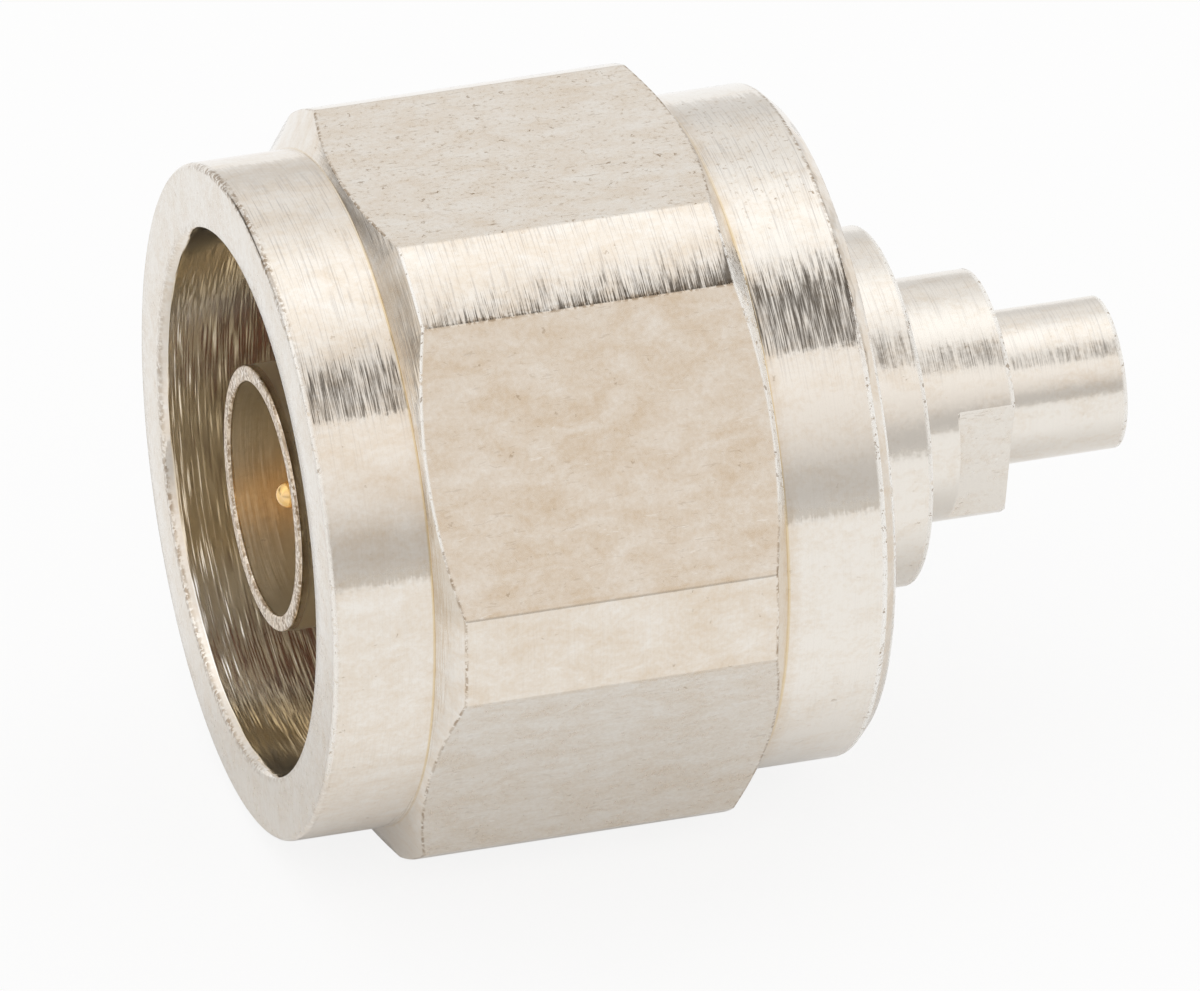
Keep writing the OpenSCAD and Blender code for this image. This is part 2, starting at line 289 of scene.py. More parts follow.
class Graph:
    """Adds nodes to the node tree of a material or a world."""

    def __init__(self, owner):
        owner.use_nodes = True
        self.tree = owner.node_tree
        self.tree.nodes.clear()

    def add(self, kind, settings=None, values=None, output=0):
        """Adds a node: settings first, then the values or links of its sockets. Returns one output."""
        node = self.tree.nodes.new("ShaderNode" + kind)
        for name, value in (settings or {}).items():
            if name == "stops":
                set_stops(node.color_ramp, value)
            else:
                setattr(node, name, value)
        for name, value in (values or {}).items():
            if isinstance(value, Term):
                self.tree.links.new(value.socket, node.inputs[name])
            else:
                node.inputs[name].default_value = value
        return Term(self, node.outputs[output]) if node.outputs else node

    def math(self, operation, *terms):
        return self.add("Math", {"operation": operation}, dict(enumerate(terms)))

    def most(self, term, *others):
        """The largest of several masks."""
        for other in others:
            term = self.math("MAXIMUM", term, other)
        return term

    def fade(self, term, start, end):
        """0 below start and 1 above end, smoothly between."""
        return self.add(
            "MapRange",
            {"interpolation_type": "SMOOTHSTEP"},
            {"Value": term, "From Min": start, "From Max": end, "To Min": 0.0, "To Max": 1.0},
        )

    def drop(self, term, start, end):
        """1 below start and 0 above end, smoothly between."""
        return 1.0 - self.fade(term, start, end)

    def vector(self, x, y, z):
        return self.add("CombineXYZ", None, {"X": x, "Y": y, "Z": z})

    def vectors(self, operation, *terms, output="Vector"):
        """A Vector Math node on two vectors, or on a vector and a scale."""
        inputs = {0: terms[0]}
        inputs["Scale" if operation == "SCALE" else 1] = terms[1]
        return self.add("VectorMath", {"operation": operation}, inputs, output)

    def noise(self, vector, scale=1.0, detail=2.0, roughness=0.5, distortion=0.0, output="Fac"):
        return self.add(
            "TexNoise",
            {"noise_dimensions": "3D"},
            {"Vector": vector, "Scale": scale, "Detail": detail, "Roughness": roughness,
             "Distortion": distortion},
            output,
        )

    def mix(self, factor, first, second, blend="MIX"):
        """Blends two colours."""
        return self.add(
            "Mix",
            {"data_type": "RGBA", "blend_type": blend},
            {0: factor, 6: rgba(first), 7: rgba(second)},
            2,
        )

    def tint(self, factor, first, second):
        """Multiplies two colours."""
        return self.mix(factor, first, second, "MULTIPLY")


def rgba(value):
    """A colour as a node socket takes it."""
    if isinstance(value, Term):
        return value
    return (*value[:3], 1.0)


def set_stops(ramp, stops):
    """Gives a colour ramp its stops, each a place and a colour."""
    while len(ramp.elements) > 1:
        ramp.elements.remove(ramp.elements[-1])
    ramp.elements[0].position, ramp.elements[0].color = stops[0][0], rgba(stops[0][1])
    for place, shade in stops[1:]:
        ramp.elements.new(place).color = rgba(shade)


# Modelling helpers

def select_none():
    """Leaves edit mode and deselects every object."""
    if bpy.context.mode != "OBJECT":
        bpy.ops.object.mode_set(mode="OBJECT")
    bpy.ops.object.select_all(action="DESELECT")


def work_on(piece):
    """Makes a piece the only one selected."""
    select_none()
    piece.select_set(True)
    bpy.context.view_layer.objects.active = piece


@contextmanager
def editing(piece):
    """Edit mode on all the points of one piece, and object mode again at the end."""
    work_on(piece)
    bpy.ops.object.mode_set(mode="EDIT")
    bpy.ops.mesh.select_mode(type="VERT")
    bpy.ops.mesh.select_all(action="SELECT")
    yield
    bpy.ops.object.mode_set(mode="OBJECT")


def turned(name, outline, sides, closed=True):
    """Turns an outline of (station, radius) points about the X axis, ring after extruded ring."""
    select_none()
    ends = outline if closed else outline[1:-1]
    station, radius = ends[0]
    bpy.ops.mesh.primitive_circle_add(
        vertices=sides, radius=radius, location=(station, 0, 0), rotation=(0, math.pi / 2, 0)
    )
    piece = bpy.context.object
    piece.name = name
    bpy.ops.object.transform_apply()
    with editing(piece):
        if not closed:
            close_on_axis(outline[0][0] - station)
            select_ring(piece, station, radius)
        for (x, r) in (ends[1:] + ends[:1] if closed else ends[1:]):
            bpy.ops.mesh.extrude_edges_move(TRANSFORM_OT_translate={"value": (x - station, 0, 0)})
            if abs(r - radius) > SAME_PLACE:
                scale = r / radius
                bpy.ops.transform.resize(value=(1, scale, scale), center_override=(x, 0, 0))
            station, radius = x, r
        if not closed:
            close_on_axis(outline[-1][0] - station)
        bpy.ops.mesh.select_all(action="SELECT")
        bpy.ops.mesh.remove_doubles(threshold=WELD)
        bpy.ops.mesh.normals_make_consistent(inside=False)
    return piece


def close_on_axis(reach):
    """Closes the selected ring with a cap or a nose whose middle lies on the axis."""
    bpy.ops.mesh.extrude_edges_move(TRANSFORM_OT_translate={"value": (reach, 0, 0)})
    bpy.ops.mesh.merge(type="CENTER")


def select_ring(piece, station, radius):
    """Selects only the ring of points at a station and radius."""
    def on_ring(vertex):
        return abs(vertex.co.x - station) < SAME_PLACE and abs(reach(vertex.co) - radius) < SAME_PLACE
    select(piece, "VERT", on_ring)


def select(piece, kind, test):
    """In edit mode, selects the points or the edges that pass a test."""
    bpy.ops.mesh.select_mode(type=kind)
    bpy.ops.mesh.select_all(action="DESELECT")
    mesh = bmesh.from_edit_mesh(piece.data)
    for part in (mesh.verts if kind == "VERT" else mesh.edges):
        part.select = test(part)
    mesh.select_flush_mode()
    bmesh.update_edit_mesh(piece.data)


def reach(place):
    """Distance of a place from the X axis."""
    return math.hypot(place.y, place.z)


def middle_of(edge):
    return (edge.verts[0].co + edge.verts[1].co) / 2


def round_edges(piece, width, segments, least_angle, test):
    """Bevels the edges that are sharper than an angle in degrees and pass a test."""
    def chosen(edge):
        sharp = len(edge.link_faces) == 2 and edge.calc_face_angle(0) > math.radians(least_angle)
        return sharp and test(edge)

    with editing(piece):
        select(piece, "EDGE", chosen)
        bpy.ops.mesh.bevel(
            offset=width, offset_type="OFFSET", segments=segments, profile=0.5, clamp_overlap=False
        )


def smooth(piece, degrees):
    """Smooth shading that keeps large faces true and edges above an angle sharp."""
    work_on(piece)
    bpy.ops.object.shade_smooth_by_angle(angle=math.radians(degrees))
    weighted = piece.modifiers.new("Weighted", "WEIGHTED_NORMAL")
    weighted.mode = "FACE_AREA"
    weighted.weight = 100
    weighted.keep_sharp = True
    bpy.ops.object.modifier_apply(modifier=weighted.name)


def cut(piece, tool):
    """Cuts a tool's shape out of a piece and deletes the tool."""
    work_on(piece)
    modifier = piece.modifiers.new("Cut", "BOOLEAN")
    modifier.operation = "DIFFERENCE"
    modifier.solver = "EXACT"
    modifier.object = tool
    bpy.ops.object.modifier_apply(modifier=modifier.name)
    bpy.data.objects.remove(tool, do_unlink=True)


def stepped(*places):
    """Corners of a stepped outline, given by a station, a radius, the next station and so on."""
    stations, radii = places[::2], places[1::2]
    return [(x, r) for i, r in enumerate(radii) for x in stations[i:i + 2]]


def arc(centre, radius, start, end, steps):
    """Points of an arc about (station, radius) centre, between two angles from the +X direction."""
    turns = [start + (end - start) * i / steps for i in range(steps + 1)]
    return [(centre[0] + radius * math.cos(t), centre[1] + radius * math.sin(t)) for t in turns]


# Finishes

class Surface:
    """A material's graph with the places that its patterns are measured by, in millimetres."""

    def __init__(self, name):
        self.material = bpy.data.materials.new(name)
        self.graph = g = Graph(self.material)
        here = g.add("TexCoord", None, None, "Object")
        self.place = g.vectors("SCALE", here, 1 / MM)
        self.x = g.add("SeparateXYZ", None, {0: self.place}, "X")
        self.y = self.x.beside("Y")
        self.z = self.x.beside("Z")
        self.r = g.math("SQRT", self.y * self.y + self.z * self.z)
        self.along = self.x + self.r * RADIAL_SHARE
        self.round = g.math("ARCTAN2", self.z, -self.y)
        self.normal = g.add("NewGeometry", None, None, "Normal")

    def streaks(self, across, lengthwise):
        """A place that is stretched round the axis: fine across the tool marks, coarse along them."""
        return self.graph.vector(self.along * across, self.y * lengthwise, self.z * lengthwise)

    def unrolled(self, radius):
        """A place on the surface as if it were rolled out flat."""
        return self.graph.vector(self.along, self.round * radius, 0.0)

    def facing(self, degrees):
        """How far out the place lies towards an angle round the axis."""
        turn = math.radians(degrees)
        return self.y * -math.cos(turn) + self.z * math.sin(turn)

    def towards(self, degrees, widest, narrowest):
        """1 near an angle round the axis and 0 far from it, between two cosines."""
        return self.graph.fade(self.facing(degrees) / self.r, widest, narrowest)

    def behind(self, station, ramp):
        """1 behind a station on the axis and 0 before it."""
        return self.graph.fade(self.x, station, station + ramp)

    def before(self, station, ramp):
        return self.graph.drop(self.x, station, station + ramp)

    def beyond(self, radius, ramp):
        """1 outside a radius and 0 within it."""
        return self.graph.fade(self.r, radius, radius + ramp)

    def within(self, radius, ramp):
        return self.graph.drop(self.r, radius, radius + ramp)

    def ring(self, station, radius, near, far):
        """1 near a circle round the axis and 0 far from it."""
        return self.graph.drop(abs(self.x - station) + abs(self.r - radius), near, far)

    def tilted(self, tilt, specks, speck_size):
        """The normal, leaned across the tool marks by an angle and scattered by a colour of noise."""
        g = self.graph
        round_axis = g.add(
            "VectorTransform",
            {"vector_type": "VECTOR", "convert_from": "OBJECT", "convert_to": "WORLD"},
            {"Vector": g.vector(0.0, -self.z / self.r, self.y / self.r)},
        )
        across = g.vectors("CROSS_PRODUCT", self.normal, round_axis)
        leaned = g.vectors("ADD", self.normal, g.vectors("SCALE", across, tilt))
        scatter = g.vectors("SUBTRACT", specks, (0.5, 0.5, 0.5))
        leaned = g.vectors("ADD", leaned, g.vectors("SCALE", scatter, speck_size))
        return g.vectors("NORMALIZE", leaned, (0.0, 0.0, 0.0))

    def finish(self, values, height=None, distance=0.0):
        """Adds the shader with its constants and links, and a bump where there is a height."""
        g = self.graph
        if height is not None:
            bump = {"Height": height, "Strength": 1.0, "Distance": distance}
            values["Normal"] = g.add("Bump", None, bump, "Normal")
        shader = g.add("BsdfPrincipled", None, values, "BSDF")
        g.add("OutputMaterial", None, {"Surface": shader})
        return self.material


def spots(surface, place, scale, size, share):
    """Small spots of mixed sizes, one in some of the cells of a grid."""
    g = surface.graph
    near = g.add(
        "TexVoronoi", {"feature": "F1", "voronoi_dimensions": "2D"}, {"Vector": place, "Scale": scale},
    )
    chance = g.add("SeparateColor", None, {0: near.beside("Color")}, "Red")
    widest = (0.35 + chance.beside("Green")) * size
    return g.drop(near, widest * 0.5, widest) * g.math("LESS_THAN", chance, share)


def hairs(surface, turn, across, lengthwise, rarity):
    """Fine curved scratches: narrow streaks of noise, cut off high."""
    g = surface.graph
    place = g.add(
        "Mapping", {"vector_type": "POINT"},
        {"Vector": surface.place, "Rotation": turn, "Scale": (lengthwise, across, lengthwise)},
    )
    return g.fade(g.noise(place, 1.0, 1.0, 0.5, 1.1), rarity, rarity + 0.06)


# The plate: how far its marks lean the normal, and how much they add to its roughness.
LINE_TILT = 0.40
BAND_TILT = 0.22
FLAT_CALM = 0.93
FLAT_ROUGHNESS = 0.24
FROST_ROUGHNESS = 0.22
EDGE_ROUGHNESS = 0.20


def nickel_plate(s, colours, at, film, marks=1.0, bore=(1.0, 0.07), specks=0.04, satin=0.075):
    """Satin nickel over turned and milled metal. The masks say where it is milled, worn or stained, and
    where highlights and shade are painted.
    """
    g = s.graph
    flat, edge = at["flat"], at["edge"]
    pitted = at.get("pitted", 0.0)
    bore_marks, bore_roughness = bore

    # Patterns: tool marks, grain, worn patches, clouds and pits.
    lines = g.noise(s.streaks(30.0, 1.1), 1.0, 1.0, 0.7)
    bands = g.noise(s.streaks(9.0, 0.7), 1.0, 1.0, 0.6)
    scores = g.noise(s.streaks(22.0, 0.6), 1.0, 1.0, 0.5)
    lines = lines + (scores - lines) * at["bore"]
    grain = g.noise(s.place, 7.0, 2.0, 0.6, output="Color")
    flecks = grain.beside("Fac")
    chips = g.add("SeparateColor", None, {0: grain}, "Green")
    wear = g.noise(s.place, 2.1, 1.0, 0.6)
    cloud = g.noise(g.vector(s.x * 0.7, s.y * 1.3, s.z * 1.3), 1.0, 4.0, 0.65, 0.4)
    pits = spots(s, g.vectors("ADD", s.unrolled(10.0), g.vectors("SCALE", grain, 0.4)), 1.9, 0.10, 0.4)
    light = hairs(s, (0.5, 0.2, 0.7), 18.0, 1.8, 0.72)
    deep = hairs(s, (1.1, 0.4, 1.2), 18.0, 2.2, 0.67) * flat * (0.16 + pitted * 0.3)

    # Normal and roughness.
    tilt = ((lines - 0.5) * LINE_TILT + (bands - 0.5) * BAND_TILT) * marks + at["lean"]
    tilt = tilt * (1.0 - flat * FLAT_CALM) * (1.0 + at["bore"] * (bore_marks - 1.0))
    rough_flat = FLAT_ROUGHNESS + (cloud - 0.5) * 0.1 + (flecks - 0.5) * 0.2
    rough = (satin + (lines - 0.5) * 0.08) * (1.0 - flat) + rough_flat * flat
    rough = rough + at["bore"] * bore_roughness + edge * EDGE_ROUGHNESS
    if "frost" in at:
        rough = rough + at["frost"] * FROST_ROUGHNESS

    # Colour: the film, light scratches and worn lines with painted shade, then one coat over another,
    # painted shade and painted highlights among them.
    tan = film + (cloud - 0.5) * 1.5 + (flecks - 0.5) * 0.7
    if "film" in at:
        tan = tan + at["film"] * (0.4 + cloud * 1.2)
    shade = g.mix(tan, colours.nickel, colours.tan)
    shade = g.mix(light * flat * 0.35, shade, colours.bright)
    # Worn lines with painted shade: a little everywhere on the turned surfaces, and most from about 31 to
    # 109 degrees round the axis.
    wear_and_streak_shade = (1.0 - flat) * marks * (0.12 + s.towards(70, 0.78, 0.966) * 0.88)
    shade = g.tint(g.fade(scores, 0.48, 0.75) * wear_and_streak_shade, shade, colours.wear_and_streak_shade)
    # The coats: painted shade on flats and the end face, the bore's plate, painted highlights in the bore,
    # tarnish and the gilt corners.
    coats = (
        ("painted_shade", g.tint, colours.painted_shade), ("bore", g.mix, colours.bore),
        ("painted_bore_highlight", g.mix, colours.bright), ("sooty", g.tint, colours.soot), ("gilt", g.mix, colours.gilt),
    )
    for key, blend, coat in coats:
        if key in at:
            shade = blend(at[key], shade, coat)
    dirt = pits * g.fade(cloud, 0.5, 0.62) * 0.4 + deep
    dirt = dirt + g.most(pits, g.fade(flecks, 0.60, 0.74) * 0.7) * pitted * 0.5
    shade = g.mix(dirt, shade, colours.brown)
    if "grime" in at:
        patchy = at["grime"] * (0.45 + g.fade(wear, 0.38, 0.6) * 0.55)
        shade = g.mix(patchy * g.fade(flecks, 0.42, 0.54) * 0.9, shade, colours.brown)
    # Burrs, real marks along the edges, with a painted highlight: white and partly not metal, so that they
    # shine like glints.
    burr = edge * g.fade(chips + (wear - 0.5) * 0.5, 0.30, 0.42)
    shade = g.mix(burr, shade, colours.bright)
    spotted = edge * g.drop(flecks, 0.34, 0.40) * g.drop(wear, 0.5, 0.6) * 0.7
    shade = g.mix(spotted, shade, colours.brown)
    return s.finish({
        "Base Color": shade, "Metallic": 1.0 - burr * 0.75, "Roughness": rough,
        "Normal": s.tilted(tilt, grain, specks + edge * 0.35 + flat * 0.02),
    })


def nut_masks(s, sizes):
    """Where the nut is milled, burred, stained and bored, and where highlights and shade are painted.
    Angles are in degrees round the axis.
    """
    g = s.graph
    front, end = NUT_LOW.x / MM, NUT_HIGH.x / MM
    hex_front = front + sizes.collar_length / MM
    hex_end = end - sizes.rear_length / MM
    corner, collar, rear = sizes.corner_radius / MM, sizes.collar_radius / MM, sizes.rear_radius / MM
    mouth, mouth_rim = sizes.mouth_radius / MM, (sizes.mouth_radius + sizes.mouth_chamfer) / MM
    chamfer = sizes.rear_chamfer / MM
    bore_start = front + sizes.mouth_chamfer_depth / MM
    apothem = NUT_HIGH.z / MM
    slope = 1 / math.tan(sizes.corner_angle)

    def on_plane(distance):
        return g.fade(distance, apothem - 0.012, apothem - 0.004) * s.beyond(collar + 0.10, 0.05)

    def on_flat(turn):
        return on_plane(abs(s.facing(turn)))

    # The flats, the faced front end and the two turned corner chamfers.
    outermost = g.most(abs(s.facing(90)), abs(s.facing(30)), abs(s.facing(-30)))
    end_face = s.before(front + 0.01, 0.03)
    to_front_cone = collar + (s.x - hex_front) * slope - s.r
    to_rear_cone = rear + (hex_end - s.x) * slope - s.r
    front_cone = g.drop(abs(to_front_cone), 0.01, 0.03)
    rear_half = s.behind((hex_front + hex_end) / 2 - 0.1, 0.2)
    bore = s.within(mouth + 0.01, 0.02) * s.before(end - 0.08, 0.05) * s.behind(bore_start - 0.03, 0.05)

    # The flats' scalloped ends and the ends of the corner strips.
    outer = g.most(g.fade(outermost, apothem - 0.05, apothem - 0.02), s.beyond(corner - 0.05, 0.03))
    scallops = outer * g.drop(abs(g.math("MINIMUM", to_front_cone, to_rear_cone)), 0.05, 0.16)
    facing_forward = s.towards(42, 0.88, 0.93)

    # Bright burrs with painted highlights: along the scallops that face forward, on the rear chamfer round
    # 38 degrees, and along the rims low down.
    low = 1.0 - s.towards(92, 0.5, 0.8)
    edge = g.most(
        scallops * facing_forward,
        g.drop(abs(to_rear_cone), 0.01, 0.03) * rear_half * s.towards(38, 0.90, 0.96),
        s.ring(front, collar, 0.06, 0.17) * (0.2 + s.towards(20, 0.62, 0.80) * 0.8),
        s.ring(end - chamfer, rear, 0.06, 0.15) * low,
        s.ring(end, rear - chamfer, 0.12, 0.28) * low,
    )

    # Dark specks along the rims, the upper seam and the other scallops.
    seam = g.fade(outermost, apothem - 0.09, apothem - 0.02) * s.beyond(corner - 0.03, 0.02)
    grime = g.most(
        s.ring(front, collar, 0.10, 0.24) * (0.2 + s.towards(88, 0.84, 0.90) * 0.8),
        s.ring(front, mouth_rim, 0.08, 0.24) * (0.2 + s.towards(225, 0.3, 0.9) * 0.5),
        seam * s.towards(53, 0.995, 0.998) * 0.7,
        scallops * g.most(1.0 - facing_forward, s.towards(61, 0.990, 0.994) * rear_half) * 0.8,
        s.ring(end - chamfer, rear, 0.03, 0.12) * 0.8,
        s.ring(end, rear - chamfer, 0.03, 0.14) * 0.8,
    )

    # The golden line in the inner corners, on the collars' side.
    gilt = g.most(
        s.before(hex_front + 0.01, 0.01) * s.behind(hex_front - 0.07, 0.04),
        s.behind(hex_end - 0.02, 0.01) * s.before(hex_end + 0.03, 0.05),
    )

    # The tan film: most on one pair of flats, a little beside the corners, less on the rear collar.
    near_corner = g.most(
        s.behind(hex_front - 0.7, 0.7) * s.before(hex_front, 0.03),
        s.behind(hex_end - 0.03, 0.03) * s.before(hex_end, 0.6),
    )
    film = near_corner * 0.15 + on_flat(30) * 0.30
    film = film + s.beyond(corner - 0.08, 0.04) * s.towards(0, 0.985, 0.99) * 0.22
    film = film + s.behind(end - chamfer, 0.04) * 0.4
    film = film - s.behind(hex_end + 0.1, 0.4) * 0.2 - end_face * 0.15

    # The turned surfaces are a little hollow, so their light leans along the axis.
    rise = s.towards(90, 0.74, 0.80)
    drum = s.beyond(collar + 0.1, 0.2) * ((s.x - hex_front) * 0.0055 - 0.01)
    lean = s.before(hex_front - 0.05, 0.05) * rise * -0.05 + drum * s.before(hex_end - 0.05, 0.05)
    lean = lean + s.behind(hex_end, 0.05) * ((s.x - hex_end) * 0.012 - 0.014 + rise * 0.028)

    return {
        "flat": g.most(on_plane(outermost), end_face), "edge": edge, "grime": grime, "bore": bore,
        "film": film, "lean": lean, "gilt": gilt * (0.25 + s.towards(20, 0.4, 0.8) * 0.4),
        # Painted shade: the flats at -30 degrees, the lower front one and its opposite, and the front end
        # face are greyer.
        "painted_shade": g.most(on_flat(-30), end_face * 0.4),
        "pitted": g.most(on_flat(90), s.behind(hex_end + 0.1, 0.3) * s.towards(88, 0.90, 0.98)),
        # Painted highlights: lighter stretches of the bore, at about 173 and 240 degrees round the axis.
        "painted_bore_highlight": bore * g.most(s.towards(173, 0.97, 0.995) * 0.7, s.towards(240, 0.93, 0.98)),
        # The front chamfer: dull at the top, with brown tarnish beside the scallops.
        "frost": front_cone * s.towards(80, 0.90, 0.96),
        "sooty": front_cone * g.most(s.towards(16, 0.980, 0.993), s.towards(54, 0.980, 0.993)) * 0.6,
    }


def gold_plate(colours):
    """Gold over a turned pin."""
    s = Surface("gold_plate_finish")
    g = s.graph
    lines = g.noise(s.streaks(22.0, 1.5), 1.0, 3.0)
    grain = g.noise(s.place, 9.0, 2.0, output="Color")
    wear = g.noise(s.place, 2.2, 3.0)
    shade = g.mix(g.fade(wear, 0.5, 0.8) * 0.25, colours.gold, colours.nickel)
    return s.finish({
        "Metallic": 1.0, "Base Color": shade, "Roughness": 0.12 + lines * 0.12,
        "Normal": s.tilted((lines - 0.5) * 0.2, grain, 0.05),
    })


def fluoropolymer_finish(colours):
    """Turned white plastic, a little waxy."""
    s = Surface("fluoropolymer_finish")
    g = s.graph
    lines = g.noise(s.streaks(14.0, 0.8), 1.0, 3.0)
    waxy = g.fade(g.noise(s.place, 0.8, 3.0), 0.3, 0.9) * 0.2
    shade = g.tint(waxy, colours.fluoropolymer, colours.waxy)
    return s.finish({"IOR": 1.36, "Base Color": shade, "Roughness": 0.38 + lines * 0.2}, lines, BUMP)


def silicone_finish(colours):
    """Moulded red-brown rubber with a bloom of dust."""
    s = Surface("silicone_finish")
    g = s.graph
    bloom = g.fade(g.noise(s.place, 3.0, 4.0, 0.6), 0.45, 0.8) * 0.3
    grain = g.noise(s.place, 14.0, 3.0)
    shade = g.mix(bloom, colours.silicone, colours.bloom)
    looks = {"IOR": 1.43, "Base Color": shade, "Roughness": 0.5 + grain * 0.25}
    return s.finish(looks, grain, BUMP * 1.5)


def bronze_finish(colours):
    """Drawn spring wire."""
    s = Surface("spring_bronze_finish")
    g = s.graph
    lines = g.noise(s.streaks(9.0, 0.5), 1.0, 3.0)
    stain = g.fade(g.noise(s.place, 1.6, 3.0), 0.45, 0.75) * 0.5
    shade = g.mix(stain, colours.bronze, colours.brown)
    looks = {"Metallic": 1.0, "Base Color": shade, "Roughness": 0.28 + lines * 0.2}
    return s.finish(looks, lines, BUMP)


def dress(piece, material):
    """Gives a piece one material."""
    piece.data.materials.clear()
    piece.data.materials.append(material)


# Pieces

class PLUG_OT_coupling_nut(bpy.types.Operator):
    """Turn, mill and tap the coupling nut"""
    bl_idname = "plug.coupling_nut"
    bl_label = "Coupling Nut"

    def execute(self, context):
        n = context.scene.plug_nut
        front, end = NUT_LOW.x, NUT_HIGH.x
        hex_front = front + n.collar_length
        hex_end = end - n.rear_length
        slope = math.tan(n.corner_angle)
        drum_front = hex_front + (n.corner_radius - n.collar_radius) * slope
        drum_end = hex_end - (n.corner_radius - n.rear_radius) * slope
        drum_step = (drum_end - drum_front) / n.drum_rings
        web_front = end - n.web_length
        runout_front = web_front - n.runout_length
        thread_front = front + n.mouth_depth
        groove_front = (web_front + end - n.groove_width) / 2
        groove_end = groove_front + n.groove_width
        outside = [
            (front, n.collar_radius - n.front_edge), (front + n.front_edge, n.collar_radius),
            (hex_front, n.collar_radius),
            *((drum_front + drum_step * i, n.corner_radius) for i in range(n.drum_rings + 1)),
            (hex_end, n.rear_radius), (end - n.rear_chamfer, n.rear_radius),
            (end, n.rear_radius - n.rear_chamfer),
        ]
        inside = stepped(
            end, n.bore_radius, groove_end, n.groove_radius, groove_front, n.bore_radius, web_front,
            n.runout_radius, runout_front, n.crest_radius, thread_front, n.mouth_radius,
            front + n.mouth_chamfer_depth,
        ) + [(front, n.mouth_radius + n.mouth_chamfer)]
        nut = turned("hex_coupling_nut", outside + inside, n.sides)
        self.mill_flats(nut)
        cut(nut, self.tap(n, thread_front, runout_front))
        self.round_burrs(nut, n, hex_front, hex_end)
        smooth(nut, 18)
        plate = Surface("nut_plate")
        masks = nut_masks(plate, n)
        dress(nut, nickel_plate(plate, context.scene.plug_finish, masks, film=0.28, bore=(1.8, 0.12)))
        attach(nut, "nut")
        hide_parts("coupling_nut")
        return {"FINISHED"}

    def mill_flats(self, nut):
        """Slices the drum along the hexagon's six planes."""
        with editing(nut):
            for i in range(6):
                turn = FULL_TURN * i / 6 + math.pi / 2
                normal = Vector((0, -math.cos(turn), math.sin(turn)))
                bpy.ops.mesh.select_all(action="SELECT")
                bpy.ops.mesh.bisect(
                    plane_co=normal * NUT_HIGH.z, plane_no=normal, use_fill=True, clear_outer=True,
                    threshold=SAME_PLACE,
                )

    def tap(self, n, start, end):
        """A tap with the thread's section, wound from the open mouth to the run-out groove."""
        root = n.pitch / 8
        inner = n.crest_radius - n.tap_overcut
        flank = (n.major_radius - inner) * math.tan(n.flank_angle)
        turns = (end - start) / n.pitch + n.tap_lead + n.tap_tail
        select_none()
        bpy.ops.mesh.primitive_plane_add(size=1, rotation=(math.pi / 2, 0, 0))
        tap = bpy.context.object
        tap.name = "tap"
        bpy.ops.object.transform_apply()
        with editing(tap):
            bpy.ops.mesh.delete(type="ONLY_FACE")
            bpy.ops.mesh.select_all(action="SELECT")
            bpy.ops.transform.resize(value=(root, 1, n.major_radius - inner), center_override=(0, 0, 0))
            select(tap, "VERT", lambda vertex: vertex.co.z < 0)
            bpy.ops.transform.resize(value=(1 + 2 * flank / root, 1, 1), center_override=(0, 0, 0))
            bpy.ops.mesh.select_all(action="SELECT")
            middle = (n.major_radius + inner) / 2
            bpy.ops.transform.translate(value=(start - n.tap_lead * n.pitch, 0, middle))
        screw = tap.modifiers.new("Thread", "SCREW")
        screw.axis = "X"
        screw.angle = FULL_TURN * turns
        screw.screw_offset = n.pitch * turns
        screw.steps = screw.render_steps = round(n.tap_sides * turns)
        screw.use_normal_calculate = True
        bpy.ops.object.modifier_apply(modifier=screw.name)
        with editing(tap):
            bpy.ops.mesh.fill_holes(sides=4)
            bpy.ops.mesh.normals_make_consistent(inside=False)
        return tap

    def round_burrs(self, nut, n, hex_front, hex_end):
        """Rounds the outer edges to a small burr's width, apart from the collars' inner corners."""
        def on_outside(edge):
            middle = middle_of(edge)
            at_shoulder = min(abs(middle.x - hex_front), abs(middle.x - hex_end)) < TOUCH
            inner_corner = at_shoulder and reach(middle) < NUT_HIGH.z - 5 * TOUCH
            return reach(middle) > n.mouth_radius - 10 * TOUCH and not inner_corner

        round_edges(nut, n.burr, 2, 14, on_outside)


